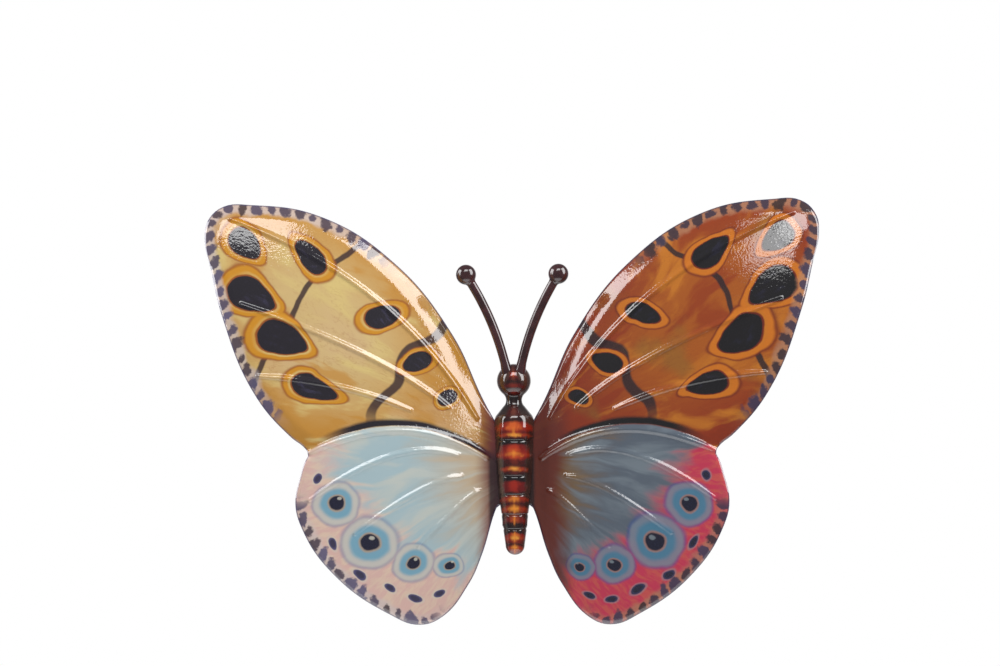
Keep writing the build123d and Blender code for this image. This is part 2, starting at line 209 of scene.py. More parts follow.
def soft_step(value):
    """0 below 0, 1 above 1, smooth between."""
    value = np.clip(value, 0, 1)
    return value * value * (3 - 2 * value)


def domed(points):
    """How far the dome stands out of the flat flange, with a soft bend where the two meet."""
    centre_x = WING_SPAN + DOME_RADIUS * math.sin(TIP_SLOPE)
    centre_rise = math.sqrt(DOME_RADIUS**2 - (centre_x - ROOT_BEND) ** 2)
    from_centre = (centre_x - points[:, 0]) ** 2 + points[:, 1] ** 2
    dome = np.sqrt(DOME_RADIUS**2 - from_centre) - centre_rise
    return (dome + np.sqrt(dome**2 + BEND_SOFTNESS**2)) / 2


def pressed_depth(points):
    """How far in front of the hanging ring's plane the sheet's face stands, at flat places."""
    depth = domed(points)
    for line, width, height in routes:
        gap, share = away_from(points, line)
        fullness = soft_step(np.minimum(share, 1 - share) * END_TAPER)
        half_width = width / 2 * (END_WIDTH + (1 - END_WIDTH) * fullness)
        rise = np.cos(np.clip(gap / half_width, 0, 1) * math.pi / 2) ** 2
        depth = depth + rise * height * (END_HEIGHT + (1 - END_HEIGHT) * fullness)
    gap, share = away_from(points, leading)
    turned = (1 - soft_step(gap / LEADING_WIDTH)) * soft_step(share * LEADING_START)
    depth = depth - LEADING_DROP * turned
    gap = away_from(points, outline)[0]
    turned = (1 - soft_step(gap / EDGE_WIDTH)) * soft_step(points[:, 0] / ROOT_BEND - 1)
    return FLANGE_FRONT + depth - EDGE_DROP * turned


# %% [markdown]
# The wing blank.
# A ring of edges along the outline is extruded inward again and again, each time a little smaller,
# which gives an even net of quads. Only where a raised line will stand are the edges divided further,
# so the fine faces are spent where the light will pick them out.

# %% Wing blank
OUTLINE_STEP = 4.5 * MM
RINGS = 22
RING_CENTRE = (0.30 * WING_SPAN, 0.05 * WING_SPAN)
CROWDED = 0.6 * MM


def flat_blank():
    """The blank as a flat bmesh in X and Y."""
    count = int(outline_run[-1] / OUTLINE_STEP)
    ring = outline_at(np.linspace(0, outline_run[-1], count, endpoint=False))
    bm = bmesh.new()
    corners = [bm.verts.new((x, y, 0)) for x, y in ring]
    loop = [bm.edges.new((corners[i], corners[(i + 1) % count])) for i in range(count)]
    centre = Matrix.Translation((-RING_CENTRE[0], -RING_CENTRE[1], 0))
    for k in range(1, RINGS):
        made = bmesh.ops.extrude_edge_only(bm, edges=loop)["geom"]
        inner = {g for g in made if isinstance(g, bmesh.types.BMVert)}
        loop = [g for g in made if isinstance(g, bmesh.types.BMEdge) and inner.issuperset(g.verts)]
        shrink = (RINGS - k) / (RINGS - k + 1)
        bmesh.ops.scale(bm, vec=(shrink, shrink, 1), space=centre, verts=list(inner))
    bmesh.ops.triangle_fill(bm, edges=loop, use_beauty=True)
    bmesh.ops.remove_doubles(bm, verts=bm.verts[:], dist=CROWDED)
    return bm


blank = flat_blank()
print("faces on the coarse blank:", len(blank.faces))

# %% [markdown]
# Finer faces where the raised lines stand.
# The blank could be made fine all over, but most of it is a calm dome that needs no more faces. So
# each edge is measured against the length that its place asks for, and only the long ones are split.

# %% Finer faces along the raised lines
FINE_EDGE = 0.62 * MM
PLAIN_EDGE = 2.4 * MM
FINE_REACH = 0.6 * MM
TOO_LONG = 1.3
MOST_ROUNDS = 6


def wanted_edge(points):
    """The edge length that a place on the blank should have."""
    near = np.zeros(len(points), bool)
    for line, width, height in routes:
        near |= away_from(points, line)[0] < width / 2 + FINE_REACH
    return np.where(near, FINE_EDGE, PLAIN_EDGE)


def divide_where_needed(bm):
    """Splits every edge that is too long for its place, and keeps the rim on the outline."""
    for _ in range(MOST_ROUNDS):
        bm.verts.index_update()
        place = np.array([v.co[:2] for v in bm.verts])
        edges = bm.edges[:]
        ends = np.array([(e.verts[0].index, e.verts[1].index) for e in edges])
        length = np.hypot(*(place[ends[:, 0]] - place[ends[:, 1]]).T)
        limit = TOO_LONG * wanted_edge((place[ends[:, 0]] + place[ends[:, 1]]) / 2)
        long_edges = [e for e, much in zip(edges, length > limit) if much]
        if not long_edges:
            break
        bmesh.ops.subdivide_edges(bm, edges=long_edges, cuts=1, use_grid_fill=True)
        bmesh.ops.triangulate(bm, faces=[f for f in bm.faces if len(f.verts) > 4])
        rim = [v for v in bm.verts if v.is_boundary]
        place = np.array([v.co[:2] for v in rim])
        run = away_from(place, outline)[1] * (len(outline) - 1)
        index = run.astype(int).clip(0, len(outline) - 2)
        part = (run - index)[:, None]
        place = outline[index] * (1 - part) + outline[index + 1] * part
        for v, spot in zip(rim, place):
            v.co.x, v.co.y = spot


divide_where_needed(blank)
bmesh.ops.triangulate(blank, faces=blank.faces[:])
print("faces on the blank:", len(blank.faces))

# %% [markdown]
# Pressing, thickness and edge.
# The flat blank is pressed by moving each vertex to its depth, then given the sheet's thickness on
# its back. Front, back and cut edge each get their own paint. Two numbers stay with each vertex for
# the print: its distance from the edge, and how far along the edge it is.

# %% Wings
FACE, BACK, RIM = range(3)


def press_wing(side):
    """One wing as a bmesh. A side is 1 for the right wing and -1 for the left."""
    bm = blank.copy()
    flat = np.array([v.co[:2] for v in bm.verts])
    for v, (x, z), depth in zip(bm.verts, flat, pressed_depth(flat)):
        v.co = (x, -depth, z + ROOT_Z)
    if side < 0:
        bmesh.ops.scale(bm, vec=(-1, 1, 1), verts=bm.verts[:])
    bmesh.ops.recalc_face_normals(bm, faces=bm.faces[:])
    if sum(f.normal.y for f in bm.faces) > 0:
        bmesh.ops.reverse_faces(bm, faces=bm.faces[:])
    bmesh.ops.solidify(bm, geom=bm.faces[:], thickness=SHEET)
    for f in bm.faces:
        f.smooth = True
        f.material_index = FACE if f.normal.y < 0 else BACK
    # the blank is all triangles, so the only quads are those that close the cut edge
    rim = [f for f in bm.faces if len(f.verts) == 4]
    for f in rim:
        f.material_index = RIM
    print("faces on the cut edge:", len(rim), "of", len(bm.faces))
    return bm


def store_edge_numbers(mesh):
    """Keeps the distance from the wing's edge and the run along it, both in millimetres."""
    place = np.empty(len(mesh.vertices) * 3)
    mesh.vertices.foreach_get("co", place)
    place = place.reshape(-1, 3)
    flat = np.column_stack([np.abs(place[:, 0]), place[:, 2] - ROOT_Z])
    gap, share = away_from(flat, outline)
    run = np.interp(share * (len(outline) - 1), np.arange(len(outline)), outline_run)
    for name, values in (("edge_gap", gap), ("edge_run", run)):
        layer = mesh.attributes.new(name, "FLOAT", "POINT")
        layer.data.foreach_set("value", (values / MM).astype(np.float32))


def finish_piece(name, bm, materials, body="butterfly", nodes_replaced=()):
    """Turns a bmesh into a piece that rides on its body."""
    mesh = bpy.data.meshes.new(name)
    bm.to_mesh(mesh)
    bm.free()
    for material in materials:
        mesh.materials.append(material)
    piece = bpy.data.objects.new(name, mesh)
    bpy.context.scene.collection.objects.link(piece)
    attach(piece, body)
    if nodes_replaced:
        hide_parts(*nodes_replaced)
    return piece


# %% [markdown]
# Mixing enamel.
# Every finish below is a small net of shader nodes. A few helpers keep the cells short: one places a
# node and fills its sockets, some do a sum, and one turns a colour read from a paint chart (0 to 255)
# into the linear values that Blender mixes with.

# %% Helpers for finishes
def put(tree, kind, values=None, **settings):
    """Adds a node, sets it up, and fills sockets with values or with links from other sockets."""
    node = tree.nodes.new(kind)
    for key, value in settings.items():
        setattr(node, key, value)
    for key, value in (values or {}).items():
        if isinstance(value, bpy.types.NodeSocket):
            tree.links.new(value, node.inputs[key])
        else:
            node.inputs[key].default_value = value
    return node


def sum_of(tree, operation, first, second=0.0, third=0.0):
    """The result of one sum of up to three numbers."""
    values = {0: first, 1: second, 2: third}
    return put(tree, "ShaderNodeMath", values, operation=operation).outputs[0]


def times(tree, first, second):
    """One number times another."""
    return sum_of(tree, "MULTIPLY", first, second)


def off_middle(tree, value):
    """How far a number from 0 to 1 is from its middle, with its sign."""
    return sum_of(tree, "SUBTRACT", value, 0.5)


def fade(tree, value, start, end):
    """0 below start, 1 above end, smooth between. Start may be the larger one."""
    values = {0: value, 1: start, 2: end}
    return put(tree, "ShaderNodeMapRange", values, interpolation_type="SMOOTHSTEP").outputs[0]


def object_place(tree):
    """The place on the piece, which the paint keeps whichever way the piece is moved."""
    return put(tree, "ShaderNodeTexCoord").outputs["Object"]


def mottle(tree, place, scale, detail=3.0, rough=0.55, distortion=0.0):
    """Soft cloudy noise from 0 to 1."""
    values = {"Vector": place, "Scale": scale, "Detail": detail, "Roughness": rough,
              "Distortion": distortion}
    return put(tree, "ShaderNodeTexNoise", values).outputs["Fac"]


def edge_number(tree, name):
    """One of the two numbers that stay with each vertex of a wing."""
    return put(tree, "ShaderNodeAttribute", attribute_name=name).outputs["Fac"]


# %% [markdown]
# Paint and groups.
# A paint chart gives a colour in steps of 255 as the eye sees it, and the renderer adds up light, so
# the chart's numbers are straightened out first. A group is a net with named sockets that several
# finishes can use, as a workshop keeps one pot of lacquer for all its pieces.

# %% Helpers for paint and groups
def paint(red, green, blue):
    """A colour of the paint chart as linear red, green, blue and alpha."""
    linear = []
    for step in (red, green, blue):
        dark = step <= 10
        linear.append(step / 255 / 12.92 if dark else ((step / 255 + 0.055) / 1.055) ** 2.4)
    return (*linear, 1.0)


def blend_colours(tree, amount, under, over, kind="MIX"):
    """One colour laid over another, by an amount from 0 to 1."""
    values = {0: amount, 6: under, 7: over}
    return put(tree, "ShaderNodeMix", values, data_type="RGBA", blend_type=kind).outputs[2]


def new_group(name, inputs, outputs):
    """A shader group with named sockets. Inputs are (name, kind, default), outputs (name, kind)."""
    group = bpy.data.node_groups.new(name, "ShaderNodeTree")
    for title, kind, default in inputs:
        socket = group.interface.new_socket(title, in_out="INPUT", socket_type="NodeSocket" + kind)
        if default is not None:
            socket.default_value = default
    for title, kind in outputs:
        group.interface.new_socket(title, in_out="OUTPUT", socket_type="NodeSocket" + kind)
    enter = group.nodes.new("NodeGroupInput").outputs
    leave = group.nodes.new("NodeGroupOutput").inputs
    return group, enter, leave


def use_group(tree, group, values):
    """Places a group in a net and gives back what comes out of it."""
    return put(tree, "ShaderNodeGroup", values, node_tree=group).outputs


# %% [markdown]
# The lacquer.
# Sprayed lacquer never lies flat: it dries in soft dimples of about a millimetre, which break up the
# edge of every reflection. One group makes that skin for all the painted pieces, from noise at two
# sizes, and each piece sets how deep it is.

# %% Group: lacquer skin
BROAD_DIMPLE = 140.0
BROAD_SHARE = 1.6
DIMPLE_HEIGHT = 0.3 * MM

lacquer_skin, enter, leave = new_group(
    "lacquer_skin", [("Dimple", "Float", 900.0), ("Depth", "Float", 0.1)], [("Normal", "Vector")])
place = object_place(lacquer_skin)
fine = put(lacquer_skin, "ShaderNodeTexNoise",
           {"Vector": place, "Scale": enter["Dimple"], "Detail": 1.0}).outputs["Fac"]
broad = mottle(lacquer_skin, place, BROAD_DIMPLE, 1.0)
height = sum_of(lacquer_skin, "MULTIPLY_ADD", broad, BROAD_SHARE, fine)
bump = put(lacquer_skin, "ShaderNodeBump",
           {"Height": height, "Strength": enter["Depth"], "Distance": DIMPLE_HEIGHT})
lacquer_skin.links.new(bump.outputs[0], leave["Normal"])
print("nodes in the lacquer skin:", len(lacquer_skin.nodes))

# %% [markdown]
# A hand-printed mark.
# The print is built from one kind of motif: a drop that is long one way and can be pointed at one end.
# The group does not draw it but says how far out of the drop a place lies, 0 at its middle and 1 on
# its edge. Many drops are then joined by taking the smallest number, and coloured once, all together.

# %% Group: drop motif
SLIMMEST = 0.15

drop_motif, enter, leave = new_group(
    "drop_motif",
    [("Place", "Vector", None), ("Middle", "Vector", None), ("Turn", "Float", 0.0),
     ("Length", "Float", 0.1), ("Width", "Float", 0.05), ("Point", "Float", 0.3)],
    [("Reach", "Float")])
turned = put(drop_motif, "ShaderNodeVectorRotate",
             {"Vector": enter["Place"], "Center": enter["Middle"], "Angle": enter["Turn"]},
             rotation_type="Z_AXIS").outputs[0]
offset = put(drop_motif, "ShaderNodeVectorMath", {0: turned, 1: enter["Middle"]},
             operation="SUBTRACT").outputs[0]
part = put(drop_motif, "ShaderNodeSeparateXYZ", {0: offset}).outputs
along = sum_of(drop_motif, "DIVIDE", part[0], enter["Length"])
slim = sum_of(drop_motif, "MULTIPLY_ADD", along, enter["Point"], 1.0)
wide = times(drop_motif, enter["Width"], sum_of(drop_motif, "MAXIMUM", slim, SLIMMEST))
across = sum_of(drop_motif, "DIVIDE", part[1], wide)
squared = sum_of(drop_motif, "MULTIPLY_ADD", along, along, times(drop_motif, across, across))
drop_motif.links.new(sum_of(drop_motif, "SQRT", squared), leave["Reach"])

# %% [markdown]
# The layout.
# Both wings carry the same layout, seen in a mirror: five large pointed drops fanned out near the tip
# of the forewing and three smaller ones towards its root, a bow of four ringed eyes over the hindwing,
# and six small spots along its margin. Each row gives the middle in shares of the span, the half
# length, the half width, the direction in degrees and how pointed it is.

# %% Layout of the print
FOREWING_DROPS = [
    (0.868, 0.735, 0.060, 0.040, 43, 0.25), (0.842, 0.570, 0.078, 0.050, 33, 0.30),
    (0.742, 0.425, 0.082, 0.050, 27, 0.30), (0.640, 0.262, 0.070, 0.036, 19, 0.30),
    (0.660, 0.700, 0.070, 0.036, 47, -0.25),
    (0.430, 0.500, 0.062, 0.034, -22, 0.0), (0.318, 0.345, 0.052, 0.030, -20, 0.0),
    (0.215, 0.220, 0.036, 0.024, -18, 0.0),
]
HINDWING_EYES = [
    (0.575, -0.120, 0.046, 0.044, 0, 0.0), (0.470, -0.245, 0.058, 0.055, 0, 0.0),
    (0.335, -0.330, 0.044, 0.042, 0, 0.0), (0.222, -0.345, 0.030, 0.028, 0, 0.0),
]
# each eye has a small glint, up and to the inner side of its middle
EYE_GLINTS = [(x - 0.008, z + 0.012, size * 0.15, size * 0.12, 0, 0.0)
              for x, z, size, *rest in HINDWING_EYES]
MARGIN_SPOTS = [
    (0.634, -0.030, 0.020, 0.012, 96, 0.0), (0.590, -0.246, 0.026, 0.013, 60, 0.0),
    (0.510, -0.352, 0.026, 0.014, 48, 0.0), (0.418, -0.412, 0.026, 0.014, 36, 0.0),
    (0.330, -0.452, 0.024, 0.013, 16, 0.0), (0.255, -0.440, 0.020, 0.012, -20, 0.0),
]


def nearest_drop(tree, place, rows):
    """How far a place lies from the nearest motif of a list."""
    reach = None
    for x, z, length, width, degrees, pointed in rows:
        values = {"Place": place, "Middle": (x, z, 0), "Turn": -math.radians(degrees),
                  "Length": length, "Width": width, "Point": pointed}
        found = use_group(tree, drop_motif, values)[0]
        reach = found if reach is None else sum_of(tree, "MINIMUM", reach, found)
    return reach


print("drops, eyes and spots:", len(FOREWING_DROPS), len(HINDWING_EYES), len(MARGIN_SPOTS))

# %% [markdown]
# The print itself.
# One group paints a whole wing and takes every colour as an input, so that the pale left wing and
# the deep right wing differ only in their paints. It works on a flat map of the wing, in shares of the
# span. All of it sits on a slightly wandering place, so that no edge is ruler straight.

# %% Group: wing print, its map of the wing
colours = ["Fore ground", "Fore glow", "Fore deep", "Ring", "Ring line", "Mark", "Band", "Cell",
           "Hind field", "Hind light", "Hind outer", "Hind blush", "Iris", "Pupil", "Eye line",
           "Root", "Edge dark", "Edge light", "Edge tone"]
wing_print, enter, leave = new_group(
    "wing_print", [(c, "Color", None) for c in colours], [("Colour", "Color")])
t = wing_print
axis = put(t, "ShaderNodeSeparateXYZ", {0: object_place(t)}).outputs
which_side = sum_of(t, "SIGN", axis[0])
share_x = sum_of(t, "DIVIDE", sum_of(t, "ABSOLUTE", axis[0]), WING_SPAN)
share_z = sum_of(t, "DIVIDE", sum_of(t, "SUBTRACT", axis[2], ROOT_Z), WING_SPAN)
flat = put(t, "ShaderNodeCombineXYZ", {0: share_x, 1: share_z}).outputs[0]
# noise reads this place, which differs from side to side, so the two wings aren't mirror images
own_x = sum_of(t, "DIVIDE", axis[0], WING_SPAN)
own_side = put(t, "ShaderNodeCombineXYZ", {0: own_x, 1: share_z}).outputs[0]


def wander(place, scale, amount):
    """The place, moved a little this way and that."""
    noise = put(t, "ShaderNodeTexNoise",
                {"Vector": own_side, "Scale": scale, "Detail": 2.0}).outputs["Color"]
    centred = put(t, "ShaderNodeVectorMath", {0: noise, 1: (0.5, 0.5, 0.5)},
                  operation="SUBTRACT").outputs[0]
    return put(t, "ShaderNodeVectorMath", {0: centred, 1: (amount, amount, 0), 2: place},
               operation="MULTIPLY_ADD").outputs[0]


loose = wander(wander(flat, 6.0, 0.050), 30.0, 0.005)
loose_z = put(t, "ShaderNodeSeparateXYZ", {0: loose}).outputs[1]
print("colours in the print:", len(colours))

# %% [markdown]
# Brush strokes.
# A wing's scales and a painter's brush both run outward from the root. So the place is told as a
# bearing and a distance from a point near the root, and noise that is stretched along the distance
# gives the strokes.

# %% Wing print: strokes
STROKE_ROOT = (-0.10, 0.02, 0)

from_root = put(t, "ShaderNodeVectorMath", {0: loose, 1: STROKE_ROOT},
                operation="SUBTRACT").outputs[0]
root_part = put(t, "ShaderNodeSeparateXYZ", {0: from_root}).outputs
bearing = sum_of(t, "ARCTAN2", root_part[1], root_part[0])
distance = put(t, "ShaderNodeVectorMath", {0: from_root}, operation="LENGTH").outputs["Value"]
fan = put(t, "ShaderNodeCombineXYZ", {0: times(t, bearing, 6.0), 1: times(t, distance, 2.4),
                                      2: which_side}).outputs[0]
stroke = mottle(t, fan, 1.6, 4.0, 0.5, 0.6)
fine_stroke = mottle(t, fan, 6.5, 4.0, 0.6, 0.4)
cloud = mottle(t, own_side, 4.2, 3.0, 0.5)


def lay(under, over, mask, strength=1.0):
    """Prints a colour over what is there, where the mask is 1, and thinner at less strength."""
    over = enter[over] if isinstance(over, str) else over
    mask = mask if strength == 1.0 else times(t, mask, strength)
    return blend_colours(t, mask, under, over)


def lay_rings(under, reach, rows):
    """Prints a motif's colours, largest first, as (colour, where it ends, where it is full,
    strength)."""
    for colour, end, full, strength in rows:
        under = lay(under, colour, fade(t, reach, end, full), strength)
    return under


# %% [markdown]
# The forewing.
# Its ground is deep near the root and the edges and glows in the middle, with fine threads between
# the strokes. Two dark scalloped bands follow a wave across it. The drops come last, each in a ring
# with a thin line on both sides, as a printer lays the small dark plate over the broad pale ones.

# %% Wing print: forewing
GLOW_ZONE = [(0.62, 0.47, 0.42, 0.27, math.degrees(0.75), 0.0)]
WAVES = 17.0
WAVE_HEIGHT = 0.016
# distance from the root, half width and soft edge, and the bearings between which it sets in
BANDS = [(0.565, 0.012, 0.009, (0.15, 0.32)), (0.955, 0.006, 0.006, None)]
DROP_RINGS = [
    ("Ring line", 1.62, 1.42, 1.0), ("Ring", 1.50, 1.34, 1.0),
    ("Fore glow", 1.24, 1.10, fade(t, cloud, 0.3, 0.7)),
    ("Ring line", 1.10, 1.03, 1.0), ("Mark", 1.02, 0.96, 1.0),
]

middle = fade(t, nearest_drop(t, loose, GLOW_ZONE), 1.25, 0.35)
ground = lay(enter["Fore deep"], "Fore ground", middle)
ground = lay(ground, "Fore glow", fade(t, stroke, 0.50, 0.68))
ground = lay(ground, "Fore deep", fade(t, stroke, 0.46, 0.34), 0.75)
ground = lay(ground, "Cell", fade(t, cloud, 0.52, 0.68), 0.55)

thread = fade(t, sum_of(t, "ABSOLUTE", off_middle(t, fine_stroke)), 0.022, 0.004)
ground = lay(ground, "Ring line", times(t, thread, fade(t, cloud, 0.40, 0.60)), 0.22)

wave = times(t, sum_of(t, "SINE", times(t, bearing, WAVES)), WAVE_HEIGHT)
for centre, half, edge, sets_in in BANDS:
    reach = sum_of(t, "SUBTRACT", sum_of(t, "ADD", distance, wave), centre)
    band = fade(t, sum_of(t, "ABSOLUTE", reach), half + edge, half)
    if sets_in:
        band = times(t, band, fade(t, bearing, *sets_in))
    ground = lay(ground, "Band", band, 0.92)

drop_reach = nearest_drop(t, loose, FOREWING_DROPS)
ground = lay_rings(ground, drop_reach, DROP_RINGS)
# painted sheen: blue-grey streaks break up the dark middles of the drops, as a reflection would
painted_sheen_in_drops = times(t, fade(t, fine_stroke, 0.52, 0.70), fade(t, drop_reach, 0.9, 0.5))
ground = lay(ground, "Edge dark", painted_sheen_in_drops, 0.25)

# %% [markdown]
# The hindwing.
# It has a cool field inside, warmed near the root, and a rosy one outside. The eyes and the margin's
# spots are the same drop motif as on the forewing, made nearly round, so the two wings belong together.

# %% Wing print: hindwing
EYE_RINGS = [
    ("Eye line", 1.80, 1.52, 0.6), ("Hind light", 1.62, 1.36, 0.7), ("Iris", 1.26, 0.90, 0.88),
    ("Ring", 0.68, 0.54, 0.5), ("Pupil", 0.56, 0.44, 1.0),
]
GLINT = [("Hind light", 1.3, 0.7, 0.7)]
SPOT_RINGS = [("Hind light", 1.40, 1.05, 0.5), ("Edge dark", 1.04, 0.84, 1.0),
              ("Mark", 0.86, 0.45, 0.6)]

outward = sum_of(t, "ADD", distance, times(t, off_middle(t, stroke), 0.45))
hind = lay(enter["Hind field"], "Hind light", fade(t, stroke, 0.40, 0.64), 0.62)
hind = lay(hind, "Cell", fade(t, outward, 0.44, 0.20), 0.80)
rosy = lay(enter["Hind outer"], "Hind blush", fade(t, fine_stroke, 0.42, 0.62))
low = sum_of(t, "MULTIPLY_ADD", loose_z, -0.55, outward)
hind = lay(hind, rosy, fade(t, low, 0.60, 0.74))
for rows, rings in ((HINDWING_EYES, EYE_RINGS), (EYE_GLINTS, GLINT), (MARGIN_SPOTS, SPOT_RINGS)):
    hind = lay_rings(hind, nearest_drop(t, loose, rows), rings)

# %% [markdown]
# Where the halves meet, and the root.
# The line between the two halves follows the ridge, an arch whose highest place is at 0.40 of the
# span, with a black stroke above it. The root is stained, and beside the body painted shade makes it
# nearly black in the fold.

# %% Wing print: line and root
ARCH_MIDDLE = 0.40
ARCH_TOP = 0.128
ARCH_FALL = -1.15

beside_arch = sum_of(t, "POWER", sum_of(t, "SUBTRACT", share_x, ARCH_MIDDLE), 2.0)
arch = sum_of(t, "MULTIPLY_ADD", beside_arch, ARCH_FALL, ARCH_TOP)
loose_height = sum_of(t, "MULTIPLY_ADD", off_middle(t, cloud), 0.02, share_z)
above = sum_of(t, "SUBTRACT", loose_height, arch)
whole = lay(hind, ground, fade(t, above, 0.002, 0.010))
black_stroke = times(t, fade(t, above, 0.004, 0.010), fade(t, above, 0.036, 0.022))
whole = lay(whole, "Mark", times(t, black_stroke, fade(t, share_x, 0.66, 0.52)))

root_zone = sum_of(t, "MULTIPLY_ADD", off_middle(t, cloud), 0.10, share_x)
root_zone = sum_of(t, "MULTIPLY_ADD", off_middle(t, stroke), 0.04, root_zone)
root_zone = sum_of(t, "MULTIPLY_ADD", which_side, -0.032, root_zone)
whole = lay(whole, "Root", fade(t, root_zone, 0.175, 0.095), 0.95)
# painted shade: the fold beside the body is darkened nearly to black, where the bent root lies in
# shadow
painted_fold_shade = sum_of(t, "MULTIPLY_ADD", which_side, 0.010, share_x)
painted_fold_shade = times(t, fade(t, painted_fold_shade, 0.084, 0.070), fade(t, share_z, 0.07, 0.0))
whole = lay(whole, "Mark", painted_fold_shade, 0.8)

# %% [markdown]
# The fringe.
# Real butterflies have a pale fringe with dark spots along the outer edge, and so has this print. It
# reads the two numbers that stay with each vertex, both in millimetres: the gap to the edge and the
# run along it. It stays away from the leading edge, the root and the notch. Each step along the edge
# holds one soft spot, whose length, width and tone are drawn by lot from the step's own number.

# %% Wing print: fringe
FRINGE_FROM = (80.0, 140.0)
FRINGE_TO = (470.0, 420.0)
NOTCH_GAP = (10.0, 50.0)
SPOT_STEP = 7.0
SPOT_DEPTH = 2.1
SPOT_SLANT = 0.3
to_notch = np.hypot(*(outline - np.array(NOTCH) * WING_SPAN).T)
NOTCH_RUN = float(outline_run[np.argmin(to_notch)]) / MM
print("the notch lies", round(NOTCH_RUN), "mm along the edge")

gap, run = edge_number(t, "edge_gap"), edge_number(t, "edge_run")
wobble = off_middle(t, mottle(t, own_side, 18.0, 3.0))
fringed = times(t, fade(t, run, *FRINGE_FROM), fade(t, run, *FRINGE_TO))
to_notch = sum_of(t, "ABSOLUTE", sum_of(t, "SUBTRACT", run, NOTCH_RUN))
fringed = times(t, fringed, fade(t, to_notch, *NOTCH_GAP))
fringe = fade(t, sum_of(t, "MULTIPLY_ADD", wobble, 7.0, gap), 6.6, 3.4)
fringe_tone = lay(enter["Edge light"], "Edge tone", cloud)
whole = lay(whole, fringe_tone, times(t, fringe, fringed), 0.72)

slanted = sum_of(t, "MULTIPLY_ADD", gap, SPOT_SLANT, run)
step = sum_of(t, "DIVIDE", sum_of(t, "MULTIPLY_ADD", wobble, 9.0, slanted), SPOT_STEP)
number = sum_of(t, "FLOOR", step)
lot = put(t, "ShaderNodeTexWhiteNoise", {"W": number}, noise_dimensions="1D").outputs["Color"]
lot = put(t, "ShaderNodeSeparateColor", {0: lot}).outputs
spot_across = sum_of(t, "DIVIDE", off_middle(t, sum_of(t, "SUBTRACT", step, number)),
                     sum_of(t, "MULTIPLY_ADD", lot[1], 0.16, 0.31))
spot_down = sum_of(t, "DIVIDE", sum_of(t, "SUBTRACT", gap, SPOT_DEPTH),
                   sum_of(t, "MULTIPLY_ADD", lot[0], 3.4, 2.0))
spot = sum_of(t, "ADD", times(t, spot_across, spot_across), times(t, spot_down, spot_down))
ragged = off_middle(t, mottle(t, own_side, 90.0, 3.0))
spot = fade(t, sum_of(t, "MULTIPLY_ADD", ragged, 1.6, spot), 1.25, 0.45)
spot = times(t, spot, fade(t, fringed, 0.10, 0.45))
whole = lay(whole, lay(enter["Edge dark"], "Band", lot[2]), spot, 0.90)
# a thin dark line closes the edge itself
whole = lay(whole, "Edge dark", fade(t, gap, 0.75, 0.35), 0.7)
t.links.new(whole, leave["Colour"])
print("nodes in the wing print:", len(t.nodes))

# %% [markdown]
# The enamel under everything.
# Every painted piece is a coloured enamel under a clear gloss lacquer, which is the shader's own
# coat. The lacquer is a dense one that mirrors strongly. The enamel under it hardly shines by itself.

# %% Enamel
RESIN_IOR = 1.95
PLAIN_SHINE = 0.5
SHINE_UNDER_COAT = 0.1


def enamel(name, rough, coat_rough, coat=1.0):
    """A new material, its net and its shader, with a clear coat."""
    material = bpy.data.materials.new(name)
    material.use_nodes = True
    shader = material.node_tree.nodes["Principled BSDF"]
    shine = PLAIN_SHINE - (PLAIN_SHINE - SHINE_UNDER_COAT) * coat
    values = {"Roughness": rough, "Coat Weight": coat, "Coat Roughness": coat_rough,
              "Coat IOR": RESIN_IOR, "Specular IOR Level": shine}
    for socket, value in values.items():
        shader.inputs[socket].default_value = value
    print("finish:", name)
    return material, material.node_tree, shader


def two_tone(tree, shader, mask, first, second):
    """Colours a finish with two paints of the chart, mixed by a mask."""
    tone = blend_colours(tree, mask, paint(*first), paint(*second))
    tree.links.new(tone, shader.inputs["Base Color"])


def skin(tree, shader, dimple, depth):
    """Lays the lacquer's dimples on the coat."""
    normal = use_group(tree, lacquer_skin, {"Dimple": dimple, "Depth": depth})[0]
    tree.links.new(normal, shader.inputs["Coat Normal"])


def stand_out(tree, shader, mask, strength, depth):
    """Makes the bare surface, which has no coat, stand out where the mask is high."""
    values = {"Height": mask, "Strength": strength, "Distance": depth}
    tree.links.new(put(tree, "ShaderNodeBump", values).outputs[0], shader.inputs["Normal"])


# %% [markdown]
# The two wing enamels.
# The left wing is printed in cream, ochre and pale blue, the right one in orange, slate and rose.
# The group does the work, and each wing only says which paints go into it.

# %% Wing enamels
PALE = {
    "Fore ground": (198, 169, 114), "Fore glow": (206, 182, 116), "Fore deep": (186, 131, 48),
    "Ring": (196, 134, 26), "Ring line": (146, 78, 24), "Mark": (30, 26, 34), "Band": (52, 32, 38),
    "Cell": (200, 168, 126), "Hind field": (160, 182, 188), "Hind light": (198, 196, 182),
    "Hind outer": (208, 172, 162), "Hind blush": (212, 186, 166), "Iris": (98, 154, 178),
    "Pupil": (24, 26, 48), "Eye line": (110, 128, 160), "Root": (122, 48, 54),
    "Edge dark": (80, 76, 112), "Edge light": (212, 200, 188), "Edge tone": (182, 168, 176),
}
DEEP = {
    "Fore ground": (160, 82, 18), "Fore glow": (186, 110, 26), "Fore deep": (136, 46, 10),
    "Ring": (194, 108, 20), "Ring line": (106, 32, 14), "Mark": (20, 18, 20), "Band": (36, 28, 32),
    "Cell": (132, 96, 34), "Hind field": (88, 98, 110), "Hind light": (126, 138, 146),
    "Hind outer": (190, 52, 80), "Hind blush": (194, 80, 76), "Iris": (62, 120, 148),
    "Pupil": (22, 24, 46), "Eye line": (50, 78, 142), "Root": (102, 38, 26),
    "Edge dark": (50, 50, 82), "Edge light": (180, 130, 86), "Edge tone": (152, 114, 102),
}


def wing_enamel(name, paints):
    """The print in one wing's paints, under glossy lacquer."""
    material, tree, shader = enamel(name, 0.45, 0.05)
    values = {key: paint(*value) for key, value in paints.items()}
    printed = use_group(tree, wing_print, values)["Colour"]
    tree.links.new(printed, shader.inputs["Base Color"])
    skin(tree, shader, 950.0, 0.16)
    return material


